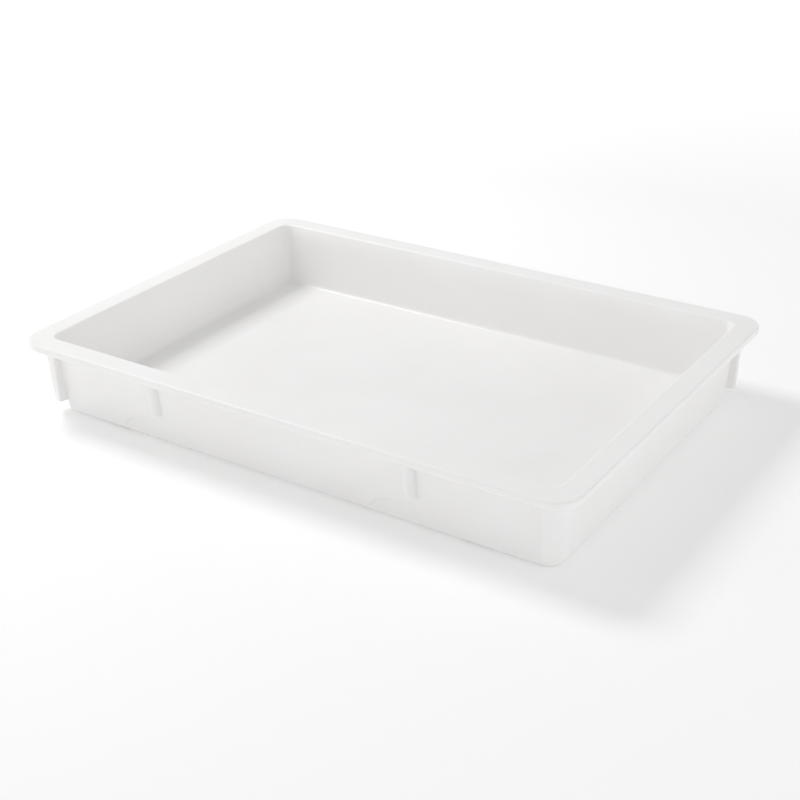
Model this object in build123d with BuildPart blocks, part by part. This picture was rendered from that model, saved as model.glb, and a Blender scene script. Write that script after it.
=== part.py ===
from build123d import *
import os

os.makedirs("parts", exist_ok=True)

# A one-piece moulded stacking tray, in millimetres. The origin is on the ground
# under the tray's centre. X runs along the tray, Y across it with the front at
# -Y, and Z is up. The moulding is made whole, and then cut along its own
# corners, foot and rim into members that meet face to face.

# ---- driving dimensions ----
LENGTH = 660.0
WIDTH = 457.0
HEIGHT = 88.0

# Insets are measured inwards from the outside of the rim.
RIM_RADIUS = 27.0
RIM_ROUNDING = 2.0
FLANGE_THICKNESS = 4.0
LIP_THICKNESS = 5.0
LIP_DEPTH = 9.5
LIP_ROUNDING = 3.5
MOUTH_INSET = 24.5
MOUTH_RADIUS = 12.0
MOUTH_ROUNDING = 2.0

WALL_TOP_INSET = 21.0
WALL_FOOT_END_INSET = 26.0
WALL_FOOT_SIDE_INSET = 28.0
WALL_RADIUS = 16.0
FOOT_ROUNDING = 5.0
FOOT_INSET = 41.0

FLOOR_TOP = 13.0
FLOOR_THICKNESS = 4.0
FLOOR_END_INSET = 30.0
FLOOR_SIDE_INSET = 33.5
FLOOR_ROUNDING = 5.0

POST_TOP_INSET = 14.0
POST_FOOT_INSET = 16.5
POST_END_INSET = 36.0
POST_RADIUS = 18.0
POST_FOOT = 15.0
POST_ROUNDING = 2.5

LUG_SPACING = 315.0
LUG_SHIFT = -4.5
LUG_RADIUS = 8.0
LUG_TOP_INSET = 14.0
LUG_FOOT_INSET = 18.2
LUG_FOOT = 32.5
LUG_ROUNDING = 3.0

ARCH_WIDTH = 102.0
ARCH_HEIGHT = 26.0
NOTCH_X = 222.0
NOTCH_WIDTH = 32.0
NOTCH_HEIGHT = 1.6

# ---- places that follow from them ----
FLANGE_UNDERSIDE = HEIGHT - FLANGE_THICKNESS
LIP_FOOT = HEIGHT - LIP_DEPTH
FLOOR_UNDERSIDE = FLOOR_TOP - FLOOR_THICKNESS
HALF_LENGTH = LENGTH / 2
HALF_WIDTH = WIDTH / 2
CUT_X = HALF_LENGTH - FOOT_INSET
CUT_Y = HALF_WIDTH - FOOT_INSET
LUG_X = {"left": LUG_SHIFT - LUG_SPACING / 2, "right": LUG_SHIFT + LUG_SPACING / 2}
SIDES_X = {"left": -1, "right": 1}
SIDES_Y = {"front": -1, "back": 1}


def outline(height, inset_x, inset_y, radius):
    """Sketch a rounded rectangle at a height, inset from the outside of the rim."""
    with BuildSketch(Plane.XY.offset(height)) as sketch:
        RectangleRounded(LENGTH - 2 * inset_x, WIDTH - 2 * inset_y, radius)
    return sketch.sketch


# Drafted block that the walls are the outside of, with its foot rounded under.
with BuildPart() as wall_block:
    add(outline(0, WALL_FOOT_END_INSET, WALL_FOOT_SIDE_INSET, WALL_RADIUS))
    add(outline(FLANGE_UNDERSIDE, WALL_TOP_INSET, WALL_TOP_INSET, WALL_RADIUS))
    loft(ruled=True)
    foot_edges = wall_block.faces().sort_by(Axis.Z)[0].outer_wire().edges()
    fillet(foot_edges, FOOT_ROUNDING)

# Corner posts, which stand proud of the walls and stop above the foot.
with BuildPart() as post_block:
    add(outline(POST_FOOT, POST_FOOT_INSET, POST_FOOT_INSET, POST_RADIUS))
    add(outline(FLANGE_UNDERSIDE, POST_TOP_INSET, POST_TOP_INSET, POST_RADIUS))
    loft(ruled=True)
    post_edges = post_block.faces().sort_by(Axis.Z)[0].outer_wire().edges()
    fillet(post_edges, POST_ROUNDING)
    Box(LENGTH - 2 * POST_END_INSET, WIDTH, 4 * HEIGHT, mode=Mode.SUBTRACT)
    Box(LENGTH, WIDTH - 2 * POST_END_INSET, 4 * HEIGHT, mode=Mode.SUBTRACT)

# Space inside the tray, rounded where the walls meet the floor.
with BuildPart() as well:
    add(outline(FLOOR_TOP, FLOOR_END_INSET, FLOOR_SIDE_INSET, MOUTH_RADIUS))
    add(outline(HEIGHT, MOUTH_INSET, MOUTH_INSET, MOUTH_RADIUS))
    loft(ruled=True)
    floor_edges = well.faces().sort_by(Axis.Z)[0].outer_wire().edges()
    fillet(floor_edges, FLOOR_ROUNDING)

# Arched hollows with upright faces, one under each lug, in both long walls.
with BuildPart() as arches:
    with BuildSketch(Plane.XZ):
        with Locations((LUG_X["left"], 0), (LUG_X["right"], 0)):
            Ellipse(ARCH_WIDTH / 2, ARCH_HEIGHT)
    extrude(amount=HALF_WIDTH, both=True)
    Box(LENGTH, WIDTH - 2 * WALL_FOOT_SIDE_INSET, 4 * HEIGHT, mode=Mode.SUBTRACT)

# Wide flat rim with a lip turned down all round its outside.
with BuildPart() as rim_block:
    with BuildSketch(Plane.XY.offset(LIP_FOOT)):
        RectangleRounded(LENGTH, WIDTH, RIM_RADIUS)
    extrude(amount=LIP_DEPTH)
    fillet(rim_block.faces().sort_by(Axis.Z)[-1].edges(), RIM_ROUNDING)
    fillet(rim_block.faces().sort_by(Axis.Z)[0].edges(), LIP_ROUNDING)
    add(outline(LIP_FOOT, LIP_THICKNESS, LIP_THICKNESS, RIM_RADIUS - LIP_THICKNESS))
    extrude(amount=LIP_DEPTH - FLANGE_THICKNESS, mode=Mode.SUBTRACT)

# The whole moulding.
with BuildPart() as tray:
    add(wall_block.part)
    add(post_block.part)
    add(arches.part, mode=Mode.SUBTRACT)
    add(rim_block.part)
    add(well.part, mode=Mode.SUBTRACT)
    rim_top = tray.faces().sort_by(Axis.Z)[-1]
    fillet(rim_top.inner_wires().edges(), MOUTH_ROUNDING)
    with BuildSketch(Plane.XY):
        Rectangle(2 * CUT_X, 2 * CUT_Y)
    extrude(amount=FLOOR_UNDERSIDE, mode=Mode.SUBTRACT)
    with GridLocations(2 * NOTCH_X, WIDTH, 2, 2):
        Box(NOTCH_WIDTH, 2 * FOOT_INSET, 2 * NOTCH_HEIGHT, mode=Mode.SUBTRACT)


def member(name, span_x, span_y, span_z):
    """Save the stretch of the moulding between three pairs of planes."""
    spans = (span_x, span_y, span_z)
    size = [high - low for low, high in spans]
    middle = [(low + high) / 2 for low, high in spans]
    with BuildPart() as piece:
        add(tray.part)
        with Locations(tuple(middle)):
            Box(*size, mode=Mode.INTERSECT)
    piece.part.label = name
    export_step(piece.part, f"parts/{name}.step")


def span(side, cut, outside):
    """The stretch from a cut out to the outside, on the low or the high side."""
    return (cut, outside) if side > 0 else (-outside, -cut)


# Heights of the members: the foot, the walls and posts above it, and the rim with
# the top of the walls.
LAYERS = {
    "base": (0, FLOOR_TOP),
    "wall": (FLOOR_TOP, LIP_FOOT),
    "rim": (LIP_FOOT, HEIGHT),
}
SIDE_NAMES = {"base": "base_rail", "wall": "wall", "rim": "rim"}
CORNER_NAMES = {"base": "base_corner", "wall": "corner_post", "rim": "rim_corner"}

# Flat floor, held all round by the base rails and corners.
member("floor_panel", (-CUT_X, CUT_X), (-CUT_Y, CUT_Y), (FLOOR_UNDERSIDE, FLOOR_TOP))

for layer, heights in LAYERS.items():
    # Long stretches along the front and the back.
    for side_name, side in SIDES_Y.items():
        reach = span(side, CUT_Y, HALF_WIDTH)
        member(f"{SIDE_NAMES[layer]}_{side_name}", (-CUT_X, CUT_X), reach, heights)
    # Short stretches along the two ends.
    for side_name, side in SIDES_X.items():
        reach = span(side, CUT_X, HALF_LENGTH)
        member(f"{SIDE_NAMES[layer]}_{side_name}", reach, (-CUT_Y, CUT_Y), heights)
    # Corners.
    for name_y, side_y in SIDES_Y.items():
        for name_x, side_x in SIDES_X.items():
            reach_x = span(side_x, CUT_X, HALF_LENGTH)
            reach_y = span(side_y, CUT_Y, HALF_WIDTH)
            name = f"{CORNER_NAMES[layer]}_{name_y}_{name_x}"
            member(name, reach_x, reach_y, heights)

# Nesting lugs: half-round ribs under the rim, on the outside of both long walls,
# sloping with the wall and rounded at the foot. The front ones mirror the back ones.
def save_lug(lug_part, name):
    """Label a lug and save it."""
    lug_part.label = name
    export_step(lug_part, f"parts/{name}.step")


for name_x, lug_x in LUG_X.items():
    with BuildPart() as back_lug:
        with BuildSketch(Plane.XY.offset(LUG_FOOT)):
            with Locations((lug_x, HALF_WIDTH - LUG_FOOT_INSET - LUG_RADIUS)):
                Circle(LUG_RADIUS)
        with BuildSketch(Plane.XY.offset(FLANGE_UNDERSIDE)):
            with Locations((lug_x, HALF_WIDTH - LUG_TOP_INSET - LUG_RADIUS)):
                Circle(LUG_RADIUS)
        loft(ruled=True)
        fillet(back_lug.faces().sort_by(Axis.Z)[0].edges(), LUG_ROUNDING)
        add(wall_block.part, mode=Mode.SUBTRACT)
    with BuildPart() as front_lug:
        mirror(back_lug.part, about=Plane.XZ)
    save_lug(back_lug.part, f"nesting_lug_back_{name_x}")
    save_lug(front_lug.part, f"nesting_lug_front_{name_x}")
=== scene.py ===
import math

import bmesh
import bpy
from mathutils import Matrix, Vector


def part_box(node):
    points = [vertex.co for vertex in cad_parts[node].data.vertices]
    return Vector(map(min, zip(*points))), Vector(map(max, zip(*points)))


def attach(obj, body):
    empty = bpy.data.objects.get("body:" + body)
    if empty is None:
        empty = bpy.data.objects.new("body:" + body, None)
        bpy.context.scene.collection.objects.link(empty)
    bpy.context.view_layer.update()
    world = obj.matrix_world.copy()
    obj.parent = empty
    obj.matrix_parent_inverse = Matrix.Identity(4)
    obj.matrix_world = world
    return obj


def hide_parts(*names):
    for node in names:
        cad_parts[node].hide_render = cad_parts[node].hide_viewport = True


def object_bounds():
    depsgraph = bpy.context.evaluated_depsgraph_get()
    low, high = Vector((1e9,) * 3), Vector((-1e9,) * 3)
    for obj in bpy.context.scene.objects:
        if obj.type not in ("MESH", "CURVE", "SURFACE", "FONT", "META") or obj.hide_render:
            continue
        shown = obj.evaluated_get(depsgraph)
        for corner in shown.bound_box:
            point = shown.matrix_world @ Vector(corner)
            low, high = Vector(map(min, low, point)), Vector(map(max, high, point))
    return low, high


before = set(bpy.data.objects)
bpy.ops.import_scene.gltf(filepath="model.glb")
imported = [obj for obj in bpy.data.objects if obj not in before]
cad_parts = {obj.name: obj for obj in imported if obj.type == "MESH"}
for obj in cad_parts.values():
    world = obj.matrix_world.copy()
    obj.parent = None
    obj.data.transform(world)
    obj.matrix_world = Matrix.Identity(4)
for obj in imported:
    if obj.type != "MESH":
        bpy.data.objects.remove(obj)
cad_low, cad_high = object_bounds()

# The camera stands in front of the tray's right half, a little above it, and looks
# down into it, so that the front wall, the right end and the whole well show.
CAMERA_PLACE = (0.78484, -1.14215, 0.70933)
CAMERA_RIGHT = Vector((0.842589, 0.538413, -0.012458))
CAMERA_UP = Vector((-0.226084, 0.374616, 0.899193))
CAMERA_LENS = 63.81
CAMERA_SHIFT = (-0.03828, -0.03331)

camera_data = bpy.data.cameras.new("camera")
camera_data.lens = CAMERA_LENS
camera_data.shift_x, camera_data.shift_y = CAMERA_SHIFT
camera = bpy.data.objects.new("camera", camera_data)
camera_turn = Matrix((CAMERA_RIGHT, CAMERA_UP, CAMERA_RIGHT.cross(CAMERA_UP))).transposed()
camera.matrix_world = Matrix.Translation(CAMERA_PLACE) @ camera_turn.to_4x4()
bpy.context.scene.collection.objects.link(camera)
bpy.context.scene.camera = camera

# The tray is one injection moulding in white plastic: floor, walls, corner posts, nesting
# lugs and a rim with a turned-down lip, in one skin. The skin is a ring of points, extruded
# from the middle of the floor up the inside, over the rim, down the outside and under.
MM = 0.001
HALF_LENGTH = cad_high.x
HALF_WIDTH = cad_high.y
RIM_TOP = cad_high.z
CORNER_START = 52 * MM
CORNER_TURNS = 13

LUG_BOXES = [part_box(f"nesting_lug_front_{side}") for side in ("left", "right")]
LUG_CENTRES = [(low.x + high.x) / 2 for low, high in LUG_BOXES]
LUG_FOOT = LUG_BOXES[0][0].z
FLANGE_UNDERSIDE = LUG_BOXES[0][1].z
LUG_RADIUS = 8 * MM
ARCH_HALF_WIDTH = 51 * MM
ARCH_PLACES_START = 14 * MM
ARCH_PLACES_END = 56 * MM
NOTCH_CENTRE = 222 * MM
NOTCH_HALF_WIDTH = 16 * MM
NOTCH_BLEND = 1.2 * MM
POST_REACH = 36 * MM
POST_BLEND = 1.6 * MM


def spread(low, high, count):
    """Evenly spaced values from low to high, both included."""
    return [low + (high - low) * i / (count - 1) for i in range(count)]


def steep_offsets(reach, count=9):
    """Offsets across a steep shoulder, close together at its middle."""
    return [reach * t * abs(t) ** 1.5 for t in spread(-1, 1, count)]


def mix(a, b, share):
    """Value between a and b."""
    return a + (b - a) * share


# Points round the tray. Each is kept as (kind, sign along X, sign along Y, place),
# where the place is a coordinate along the side, or a share of a corner's turn.
def near_corner(half_size):
    """Places along a side near its corner, with the post's shoulder between them."""
    start = half_size - CORNER_START
    edge = half_size - POST_REACH
    plain = [start, start + 4 * MM, start + 7 * MM]
    return plain + [edge + offset for offset in steep_offsets(POST_BLEND)]


def long_side():
    """Places along the front or the back, close together at lugs, arches and notches."""
    places = set()
    for centre in LUG_CENTRES:
        turns = [math.sin(math.radians(turn)) for turn in spread(-90, 90, 23)]
        beside = [LUG_RADIUS + step * MM for step in (0.4, 0.9, 1.6, 2.6, 4)]
        places.update(centre + LUG_RADIUS * turn for turn in turns)
        places.update(centre + side * place for place in beside for side in (-1, 1))
        for place in spread(ARCH_PLACES_START, ARCH_PLACES_END, 29):
            places.update((centre - place, centre + place))
    for side in (-1, 1):
        for end in (-NOTCH_HALF_WIDTH, NOTCH_HALF_WIDTH):
            middle = side * NOTCH_CENTRE + end
            places.update(middle + offset for offset in steep_offsets(NOTCH_BLEND, 7))
    limit = HALF_LENGTH - CORNER_START
    places.update(spread(-limit + 3 * MM, limit - 3 * MM, 41))
    kept = []
    for place in sorted(places):
        if not kept or place - kept[-1] > 0.15 * MM:
            kept.append(place)
    return kept


def quarter(sign_x, sign_y):
    """A corner's points, from the long side round to the short side."""
    along_long = [("long", sign_x, sign_y, sign_x * place) for place in near_corner(HALF_LENGTH)]
    turns = spread(0, 1, CORNER_TURNS)[1:-1]
    round_corner = [("corner", sign_x, sign_y, turn) for turn in turns]
    along_short = [("short", sign_x, sign_y, sign_y * place) for place in near_corner(HALF_WIDTH)]
    return along_long + round_corner + along_short[::-1]


front = [("long", 0, -1, place) for place in long_side()]
back = [("long", 0, 1, place) for place in reversed(long_side())]
end_limit = HALF_WIDTH - CORNER_START - 4 * MM
end_places = spread(-end_limit, end_limit, 25)
right = [("short", 1, 0, place) for place in end_places]
left = [("short", -1, 0, place) for place in reversed(end_places)]
ring_places = front + quarter(1, -1) + right + quarter(1, 1)[::-1]
ring_places += back + quarter(-1, 1) + left + quarter(-1, -1)[::-1]


def plain_point(where, inset_x, inset_y, radius, height):
    """A point of a plain rounded rectangle, inset from the outside of the rim."""
    kind, sign_x, sign_y, place = where
    edge_x = HALF_LENGTH - inset_x
    edge_y = HALF_WIDTH - inset_y
    if kind == "corner":
        start_x = corner_turn(HALF_LENGTH, edge_x, radius)
        start_y = corner_turn(HALF_WIDTH, edge_y, radius)
        turn = mix(start_x, math.pi / 2 - start_y, place)
        x = sign_x * (edge_x - radius + radius * math.sin(turn))
        y = sign_y * (edge_y - radius + radius * math.cos(turn))
    elif kind == "long":
        x, drop = along_side(place, HALF_LENGTH, edge_x, radius)
        y = sign_y * (edge_y - drop)
    else:
        y, drop = along_side(place, HALF_WIDTH, edge_y, radius)
        x = sign_x * (edge_x - drop)
    return Vector((x, y, height))


def corner_squeeze(half_size, edge, radius):
    """How much the places near a corner close up so that they leave room to turn."""
    room = edge - radius / 2 - (half_size - CORNER_START)
    return min(1.0, room / (CORNER_START - POST_REACH + POST_BLEND))


def along_side(place, half_size, edge, radius):
    """Where a place near a corner comes, and how far the turning has carried it in."""
    start = half_size - CORNER_START
    past = abs(place) - start
    if past <= 0:
        return place, 0.0
    reach = start + past * corner_squeeze(half_size, edge, radius)
    turned = max(0.0, reach - (edge - radius))
    drop = radius - math.sqrt(radius * radius - turned * turned)
    return math.copysign(reach, place), drop


def corner_turn(half_size, edge, radius):
    """The angle that the places along the side have already turned through."""
    last = half_size - POST_REACH + POST_BLEND
    reach, _ = along_side(last, half_size, edge, radius)
    return math.asin(max(0.0, reach - (edge - radius)) / radius)


skin = bmesh.new()
number = skin.verts.layers.int.new("number")
bmesh.ops.create_circle(skin, segments=len(ring_places), radius=1)
for i, vert in enumerate(skin.verts):
    vert[number] = i
ring_edges = list(skin.edges)


def draw_ring(points):
    """Extrude the last ring and put the new one on these points."""
    global ring_edges
    grown = bmesh.ops.extrude_edge_only(skin, edges=ring_edges)["geom"]
    ring_edges = [part for part in grown if isinstance(part, bmesh.types.BMEdge)]
    for vert in [part for part in grown if isinstance(part, bmesh.types.BMVert)]:
        vert.co = points[vert[number]]


def plain_ring(inset_x, inset_y, radius, height):
    """All the points of a plain ring."""
    return [plain_point(where, inset_x, inset_y, radius, height) for where in ring_places]


# The well: the flat floor, the rounding at its edge, and the drafted inside walls.
FLOOR_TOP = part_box("floor_panel")[1].z
FLOOR_END_INSET = 30 * MM
FLOOR_SIDE_INSET = 33.5 * MM
FLOOR_ROUNDING = 5 * MM
MOUTH_INSET = 24.5 * MM
MOUTH_RADIUS = 12 * MM
MOUTH_ROUNDING = 2 * MM
SMALLEST_RADIUS = 4 * MM


def well_ring(height, extra=0.0):
    """A ring inside the tray, at a height on the walls, drawn in by the floor's rounding."""
    share = (height - FLOOR_TOP) / (RIM_TOP - FLOOR_TOP)
    end = mix(FLOOR_END_INSET, MOUTH_INSET, share) + extra
    side = mix(FLOOR_SIDE_INSET, MOUTH_INSET, share) + extra
    return plain_ring(end, side, max(SMALLEST_RADIUS, MOUTH_RADIUS - extra), height)


first = well_ring(FLOOR_TOP, FLOOR_ROUNDING + 2 * MM)
for vert in skin.verts:
    vert.co = first[vert[number]]
well_floor_edges = list(ring_edges)
draw_ring(well_ring(FLOOR_TOP, FLOOR_ROUNDING + 0.6 * MM))
for turn in spread(0, 90, 8):
    fall = FLOOR_ROUNDING * (1 - math.sin(math.radians(turn)))
    rise = FLOOR_ROUNDING * (1 - math.cos(math.radians(turn)))
    draw_ring(well_ring(FLOOR_TOP + rise, fall))
for height in spread(FLOOR_TOP + FLOOR_ROUNDING + 0.6 * MM, RIM_TOP - MOUTH_ROUNDING - 0.5 * MM, 5):
    draw_ring(well_ring(height))


# The rim: a flat top, rounded at the mouth and at its outer edge, and a turned-down
# lip that stiffens it and gives the fingers a hold.
LIP_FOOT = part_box("rim_front")[0].z
RIM_RADIUS = 27 * MM
RIM_ROUNDING = 2 * MM
LIP_THICKNESS = 5 * MM
LIP_ROUNDING = 3.5 * MM
LIP_INNER_ROUNDING = 0.8 * MM


def rim_ring(inset, height):
    """A ring on the rim, whose corners open out from the mouth's to the outer edge's."""
    radius = mix(RIM_RADIUS, MOUTH_RADIUS, inset / MOUTH_INSET)
    return plain_ring(inset, inset, radius, height)


def rounded_edge(inset, height, rounding, turns, way_in, way_up):
    """Rings round an outside edge; way_in and way_up point from its centre."""
    for turn in turns:
        along = rounding * math.cos(math.radians(turn))
        up = rounding * math.sin(math.radians(turn))
        draw_ring(rim_ring(inset + way_in * along, height + way_up * up))


top_centre = RIM_TOP - MOUTH_ROUNDING
rounded_edge(MOUTH_INSET - MOUTH_ROUNDING, top_centre, MOUTH_ROUNDING, spread(0, 90, 7), 1, 1)
draw_ring(rim_ring(MOUTH_INSET - MOUTH_ROUNDING - 0.5 * MM, RIM_TOP))
draw_ring(rim_ring(MOUTH_INSET / 2, RIM_TOP))
draw_ring(rim_ring(RIM_ROUNDING + 0.5 * MM, RIM_TOP))
rounded_edge(RIM_ROUNDING, RIM_TOP - RIM_ROUNDING, RIM_ROUNDING, spread(90, 0, 8), -1, 1)
draw_ring(rim_ring(0, RIM_TOP - RIM_ROUNDING - 0.4 * MM))
draw_ring(rim_ring(0, LIP_FOOT + LIP_ROUNDING + 0.4 * MM))
rounded_edge(LIP_ROUNDING, LIP_FOOT + LIP_ROUNDING, LIP_ROUNDING, spread(0, 90, 9), -1, -1)
lip_centre = LIP_THICKNESS - LIP_INNER_ROUNDING
rounded_edge(lip_centre, LIP_FOOT + LIP_INNER_ROUNDING, LIP_INNER_ROUNDING, spread(90, 0, 4), 1, -1)
draw_ring(rim_ring(LIP_THICKNESS, FLANGE_UNDERSIDE - 1 * MM))
draw_ring(rim_ring(LIP_THICKNESS + 0.3 * MM, FLANGE_UNDERSIDE - 0.3 * MM))
draw_ring(rim_ring(LIP_THICKNESS + 1 * MM, FLANGE_UNDERSIDE))
draw_ring(rim_ring(9 * MM, FLANGE_UNDERSIDE))

# The outside: walls, posts and lugs below the rim, then the arched hollows, whose edges
# the rings follow, and the ledges at the posts' feet.
WALL_TOP_INSET = 21 * MM
WALL_END_INSET = 26 * MM
WALL_SIDE_INSET = 28 * MM
WALL_RADIUS = 16 * MM
WALL_FILLET = 1.8 * MM
FOOT_ROUNDING = 5 * MM
POST_FOOT = 15 * MM
POST_TOP_INSET = 14 * MM
POST_FOOT_INSET = 16.5 * MM
POST_RADIUS = 18 * MM
LEDGE_BLEND = 2 * MM
LUG_TOP_INSET = 14 * MM
LUG_FOOT_INSET = 18.2 * MM
LUG_ROUNDING = 3 * MM
LUG_FILLET = 1.6 * MM
LUG_CLEAR = 6 * MM
LUG_FLANK_STEEPNESS = 3
ARCH_HEIGHT = 26 * MM
ARCH_BLEND = 0.4 * MM
ARCH_ZONE_TOP = 30.5 * MM
ARCH_ZONE_FOOT = 7 * MM
ARCH_REACH = 1 * MM


def shoulder(offset, reach):
    """Share of a steep, rounded step that has been climbed at an offset from its middle."""
    t = max(-1.0, min(1.0, offset / reach))
    s = (math.copysign(abs(t) ** 0.4, t) + 1) / 2
    return s * s * (3 - 2 * s)


def smooth_least(a, b, width):
    """The smaller of two values, rounded off where they cross."""
    h = max(0.0, min(1.0, 0.5 + (b - a) / (2 * width)))
    return mix(b, a, h) - width * h * (1 - h)


def wall_inset(height, foot_inset):
    """Inset of the plain wall at a height, with its foot rounded under."""
    inset = mix(foot_inset, WALL_TOP_INSET, height / FLANGE_UNDERSIDE)
    if height < FOOT_ROUNDING:
        fall = FOOT_ROUNDING - height
        inset += FOOT_ROUNDING - math.sqrt(FOOT_ROUNDING**2 - fall**2)
    return inset


def top_fillet(height):
    """How far the outside swells out to meet the underside of the rim."""
    rise = height - (FLANGE_UNDERSIDE - WALL_FILLET)
    if rise <= 0:
        return 0.0
    return WALL_FILLET - math.sqrt(max(0.0, WALL_FILLET**2 - rise**2))


def arch_line(x):
    """Height of the arch's edge above the ground at a place along the wall."""
    reach = min(abs(x - centre) for centre in LUG_CENTRES)
    return ARCH_HEIGHT * math.sqrt(max(0.0, 1 - (reach / ARCH_HALF_WIDTH) ** 2))


def side_inset(x, height):
    """Inset of a long wall's outside, with its arched hollows and lugs."""
    inset = wall_inset(height, WALL_SIDE_INSET)
    line = arch_line(x)
    if inset < WALL_SIDE_INSET:
        inset = mix(inset, WALL_SIDE_INSET, shoulder(line - height, ARCH_BLEND) if line > 0 else 0)
    reach = min(abs(x - centre) for centre in LUG_CENTRES)
    rise = (height - LUG_FOOT) / (FLANGE_UNDERSIDE - LUG_FOOT)
    lug_inset = mix(LUG_FOOT_INSET, LUG_TOP_INSET, rise)
    if rise < 0 or reach > LUG_RADIUS + LUG_CLEAR:
        return inset
    bulge = LUG_RADIUS - math.sqrt(max(0.0, LUG_RADIUS**2 - reach**2))
    bulge += LUG_FLANK_STEEPNESS * max(0.0, reach - LUG_RADIUS)
    short = max(0.0, LUG_ROUNDING - (height - LUG_FOOT))
    bulge += LUG_ROUNDING - math.sqrt(LUG_ROUNDING**2 - short**2)
    return smooth_least(inset, lug_inset + bulge, LUG_FILLET)


def outside_point(where, height):
    """A point of the tray's outside, between the foot and the underside of the rim."""
    kind, sign_x, sign_y, place = where
    swell = top_fillet(height)
    end_inset = wall_inset(height, WALL_END_INSET)
    side = wall_inset(height, WALL_SIDE_INSET)
    plain = plain_point(where, end_inset - swell, side - swell, WALL_RADIUS, height)
    if sign_x == 0:
        return Vector((plain.x, sign_y * (HALF_WIDTH - side_inset(place, height) + swell), height))
    if sign_y == 0:
        return plain
    rise = (height - POST_FOOT) / (FLANGE_UNDERSIDE - POST_FOOT)
    inset = mix(POST_FOOT_INSET, POST_TOP_INSET, rise)
    post = plain_point(where, inset - swell, inset - swell, POST_RADIUS, height)
    share = shoulder(height - POST_FOOT, LEDGE_BLEND)
    if kind == "long":
        share *= shoulder(abs(place) - (HALF_LENGTH - POST_REACH), POST_BLEND)
    if kind == "short":
        share *= shoulder(abs(place) - (HALF_WIDTH - POST_REACH), POST_BLEND)
    return plain.lerp(post, share)


def follow_arch(where, over, line, under):
    """Height of a ring that follows the arches, given as shares of the way over and under."""
    x = where[3] if where[1] == 0 else HALF_LENGTH
    edge = max(arch_line(x), ARCH_ZONE_FOOT + 2 * ARCH_REACH)
    if over is not None:
        return mix(edge + ARCH_REACH, ARCH_ZONE_TOP, over)
    if line is not None:
        return edge + line
    return mix(ARCH_ZONE_FOOT, edge - ARCH_REACH, under)


for turn in spread(90, 0, 5):
    rise = WALL_FILLET * math.sin(math.radians(turn))
    height = FLANGE_UNDERSIDE - WALL_FILLET + rise
    draw_ring([outside_point(where, height) for where in ring_places])
for height in spread(FLANGE_UNDERSIDE - WALL_FILLET - 1 * MM, LUG_FOOT + LUG_ROUNDING + 1 * MM, 13):
    draw_ring([outside_point(where, height) for where in ring_places])
for turn in spread(0, 90, 7):
    fall = LUG_ROUNDING * math.sin(math.radians(turn))
    height = LUG_FOOT + LUG_ROUNDING - fall
    draw_ring([outside_point(where, height) for where in ring_places])
for height in (LUG_FOOT - 0.1 * MM, LUG_FOOT - 0.6 * MM, LUG_FOOT - 1.2 * MM):
    draw_ring([outside_point(where, height) for where in ring_places])

ledge = [POST_FOOT + offset for offset in steep_offsets(LEDGE_BLEND)][::-1]
corner_edge = ARCH_ZONE_FOOT + 3 * ARCH_REACH
over_heights = [ARCH_ZONE_TOP, 27 * MM, 23 * MM, 19 * MM] + ledge
over_shares = [(height - corner_edge) / (ARCH_ZONE_TOP - corner_edge) for height in over_heights]
arch_heights = [(share, None, None) for share in over_shares]
arch_heights += [(None, offset, None) for offset in steep_offsets(ARCH_REACH)[::-1]]
arch_heights += [(None, None, share) for share in spread(1, 0, 6)[1:]]
for heights in arch_heights:
    draw_ring([outside_point(where, follow_arch(where, *heights)) for where in ring_places])


# The foot: its rounded outer edge, the flat ring that the tray stands on, with two
# shallow notches in each long side, and the step up to the underside of the floor.
NOTCH_HEIGHT = 1.6 * MM
FOOT_INNER_INSET = HALF_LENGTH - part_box("floor_panel")[1].x
FOOT_INNER_ROUNDING = 1 * MM
FOOT_INNER_RADIUS = 6 * MM
FLOOR_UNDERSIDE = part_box("floor_panel")[0].z
UNDERSIDE_FILLET = 1.5 * MM


def notch_rise(where):
    """How far a point of the foot is lifted by a notch in a long side."""
    if where[1] != 0:
        return 0.0
    reach = abs(abs(where[3]) - NOTCH_CENTRE)
    return NOTCH_HEIGHT * shoulder(NOTCH_HALF_WIDTH - reach, NOTCH_BLEND)


def foot_point(where, height):
    """A point of the foot's outer edge, kept above the notches."""
    rise = notch_rise(where)
    return outside_point(where, mix(rise, FOOT_ROUNDING, height / FOOT_ROUNDING))


draw_ring([outside_point(where, FOOT_ROUNDING + 0.5 * MM) for where in ring_places])
for turn in spread(0, 90, 8):
    height = FOOT_ROUNDING * (1 - math.sin(math.radians(turn)))
    draw_ring([foot_point(where, height) for where in ring_places])


def foot_ring(inset_x, inset_y, radius, height):
    """A ring under the foot, lifted where the notches are."""
    points = plain_ring(inset_x, inset_y, radius, height)
    for where, point in zip(ring_places, points):
        point.z = max(point.z, notch_rise(where))
    return points


end_flat = WALL_END_INSET + FOOT_ROUNDING + 0.6 * MM
side_flat = WALL_SIDE_INSET + FOOT_ROUNDING + 0.6 * MM
draw_ring(foot_ring(end_flat, side_flat, WALL_RADIUS - FOOT_ROUNDING, 0))
inner_centre = FOOT_INNER_INSET - FOOT_INNER_ROUNDING
draw_ring(foot_ring(inner_centre - 0.4 * MM, inner_centre - 0.4 * MM, FOOT_INNER_RADIUS, 0))
for turn in spread(90, 0, 5):
    along = FOOT_INNER_ROUNDING * math.cos(math.radians(turn))
    rise = FOOT_INNER_ROUNDING * (1 - math.sin(math.radians(turn)))
    draw_ring(foot_ring(inner_centre + along, inner_centre + along, FOOT_INNER_RADIUS, rise))


def recess_ring(inset, height):
    """A ring in the recess under the floor."""
    return plain_ring(inset, inset, FOOT_INNER_RADIUS, height)


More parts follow.
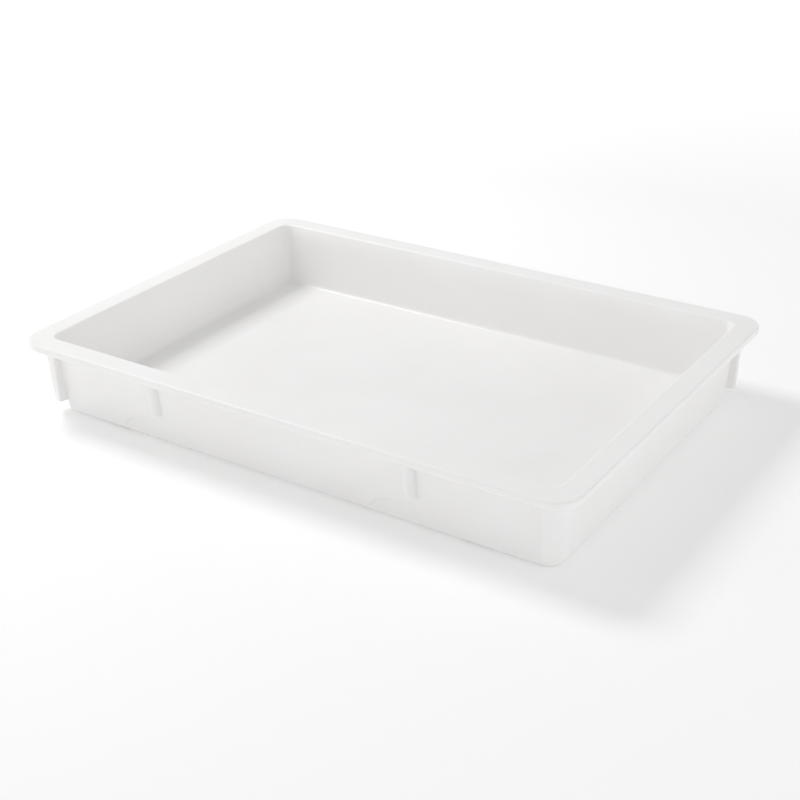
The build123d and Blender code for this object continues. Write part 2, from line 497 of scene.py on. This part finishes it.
fillet_start = FLOOR_UNDERSIDE - UNDERSIDE_FILLET
draw_ring(recess_ring(FOOT_INNER_INSET, fillet_start))
for turn in spread(0, 90, 4):
    along = UNDERSIDE_FILLET * (1 - math.cos(math.radians(turn)))
    rise = UNDERSIDE_FILLET * math.sin(math.radians(turn))
    draw_ring(recess_ring(FOOT_INNER_INSET + along, fillet_start + rise))
draw_ring(recess_ring(FOOT_INNER_INSET + 3 * MM, FLOOR_UNDERSIDE))

bmesh.ops.edgeloop_fill(skin, edges=well_floor_edges)
bmesh.ops.edgeloop_fill(skin, edges=ring_edges)
bmesh.ops.recalc_face_normals(skin, faces=list(skin.faces))
for face in skin.faces:
    face.smooth = True
skin.verts.layers.int.remove(number)
tray_mesh = bpy.data.meshes.new("tray_moulding")
skin.to_mesh(tray_mesh)
skin.free()
tray = bpy.data.objects.new("tray_moulding", tray_mesh)
bpy.context.scene.collection.objects.link(tray)
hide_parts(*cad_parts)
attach(tray, "root")

# White polyethylene, coloured right through. Its surface has the mould's fine satin
# grain and a slow unevenness from cooling, with a rubbed, slightly glossier rim and
# foot where trays have slid over each other and over the bench.
plastic = bpy.data.materials.new("white_plastic")
plastic.use_nodes = True
tray_mesh.materials.append(plastic)
nodes = plastic.node_tree.nodes
links = plastic.node_tree.links
shader = nodes["Principled BSDF"]
shader.inputs["IOR"].default_value = 1.5
shader.inputs["Subsurface Weight"].default_value = 0.18
shader.inputs["Subsurface Radius"].default_value = (1, 0.95, 0.9)
shader.inputs["Subsurface Scale"].default_value = 3 * MM
place = nodes.new("ShaderNodeTexCoord").outputs["Object"]


def grain(scale, detail, stretch=(1, 1, 1)):
    """Noise through the tray, with its number of lumps to the metre."""
    mapping = nodes.new("ShaderNodeMapping")
    mapping.inputs["Scale"].default_value = stretch
    noise = nodes.new("ShaderNodeTexNoise")
    noise.inputs["Scale"].default_value = scale
    noise.inputs["Detail"].default_value = detail
    links.new(place, mapping.inputs["Vector"])
    links.new(mapping.outputs["Vector"], noise.inputs["Vector"])
    return noise.outputs["Fac"]


def remap(value, from_low, from_high, to_low, to_high):
    """A value stretched from one range to another, held at its ends, in the tree at hand."""
    node = nodes.new("ShaderNodeMapRange")
    for slot, number in enumerate((from_low, from_high, to_low, to_high), 1):
        node.inputs[slot].default_value = number
    links.new(value, node.inputs["Value"])
    return node.outputs["Result"]


def join(kind, first_value, second_value):
    """Two values put together by one sum."""
    node = nodes.new("ShaderNodeMath")
    node.operation = kind
    links.new(first_value, node.inputs[0])
    links.new(second_value, node.inputs[1])
    return node.outputs["Value"]


tint = nodes.new("ShaderNodeMix")
tint.data_type = "RGBA"
tint.inputs["A"].default_value = (0.922, 0.915, 0.908, 1)
tint.inputs["B"].default_value = (0.943, 0.937, 0.932, 1)
links.new(remap(grain(9, 3), 0.35, 0.65, 0, 1), tint.inputs["Factor"])
links.new(tint.outputs["Result"], shader.inputs["Base Color"])

height = nodes.new("ShaderNodeSeparateXYZ")
links.new(place, height.inputs["Vector"])
near_top = remap(height.outputs["Z"], RIM_TOP - 4 * MM, RIM_TOP - 1 * MM, 0, 1)
near_foot = remap(height.outputs["Z"], 0.5 * MM, 3 * MM, 1, 0)
rubbed = join("MULTIPLY", join("ADD", near_top, near_foot), remap(grain(14, 2), 0.4, 0.75, 0, 0.04))
roughness = remap(grain(35, 5), 0.3, 0.7, 0.34, 0.4)
links.new(join("SUBTRACT", roughness, rubbed), shader.inputs["Roughness"])

fine = nodes.new("ShaderNodeBump")
fine.inputs["Strength"].default_value = 0.12
fine.inputs["Distance"].default_value = 0.05 * MM
links.new(grain(1800, 2), fine.inputs["Height"])
slow = nodes.new("ShaderNodeBump")
slow.inputs["Strength"].default_value = 0.08
slow.inputs["Distance"].default_value = 0.25 * MM
links.new(grain(28, 2), slow.inputs["Height"])
links.new(fine.outputs["Normal"], slow.inputs["Normal"])
links.new(slow.outputs["Normal"], shader.inputs["Normal"])

# Plain white studio floor. It glows faintly near the tray and more strongly away from
# it, like a sweep lit from below, so that it stays white out to the horizon.
GLOW_START = 0.8
GLOW_END = 2.4
GLOW_NEAR = 0.12
GLOW_FAR = 0.5

floor_mesh = bpy.data.meshes.new("studio_floor")
sheet = bmesh.new()
bmesh.ops.create_grid(sheet, x_segments=1, y_segments=1, size=12)
sheet.to_mesh(floor_mesh)
sheet.free()
studio_floor = bpy.data.objects.new("studio_floor", floor_mesh)
bpy.context.scene.collection.objects.link(studio_floor)
floor_paint = bpy.data.materials.new("floor_paint")
floor_paint.use_nodes = True
floor_mesh.materials.append(floor_paint)
nodes = floor_paint.node_tree.nodes
links = floor_paint.node_tree.links
floor_shader = nodes["Principled BSDF"]
floor_shader.inputs["Base Color"].default_value = (0.95, 0.95, 0.95, 1)
floor_shader.inputs["Roughness"].default_value = 0.9
floor_shader.inputs["Emission Color"].default_value = (1, 1, 1, 1)
away = nodes.new("ShaderNodeVectorMath")
away.operation = "LENGTH"
links.new(nodes.new("ShaderNodeTexCoord").outputs["Object"], away.inputs[0])
glow = remap(away.outputs["Value"], GLOW_START, GLOW_END, GLOW_NEAR, GLOW_FAR)
links.new(glow, floor_shader.inputs["Emission Strength"])

# Soft studio light: a white room, brightest low down, a key soft box high on the left that
# throws the left wall's shadow on the floor of the well, and a weak fill on either side.
LOW_ROOM_END = 0.24
HIGH_ROOM_START = 0.5
LOW_ROOM = 0.86
HIGH_ROOM = 0.56

room = bpy.data.worlds.new("studio")
room.use_nodes = True
nodes = room.node_tree.nodes
links = room.node_tree.links
nodes["Background"].inputs["Color"].default_value = (1, 1, 1, 1)
upward = nodes.new("ShaderNodeSeparateXYZ")
links.new(nodes.new("ShaderNodeTexCoord").outputs["Generated"], upward.inputs["Vector"])
room_light = remap(upward.outputs["Z"], LOW_ROOM_END, HIGH_ROOM_START, LOW_ROOM, HIGH_ROOM)
links.new(room_light, nodes["Background"].inputs["Strength"])
bpy.context.scene.world = room


def soft_light(name, place, size, power):
    """A square soft box that shines on the tray from a place."""
    data = bpy.data.lights.new(name, "AREA")
    data.shape = "SQUARE"
    data.size = size
    data.energy = power
    lamp = bpy.data.objects.new(name, data)
    lamp.location = place
    lamp.rotation_mode = "QUATERNION"
    towards = Vector((0, 0, RIM_TOP / 2)) - Vector(place)
    lamp.rotation_quaternion = towards.to_track_quat("-Z", "Y")
    bpy.context.scene.collection.objects.link(lamp)


soft_light("key", (-1.3, 0.05, 1.75), 0.74, 17)
soft_light("fill_left", (-2.0, -1.5, 1.0), 1.2, 4)
soft_light("fill_right", (2.4, 0.2, 0.9), 1.2, 5.5)
bpy.context.scene.view_settings.view_transform = "Standard"
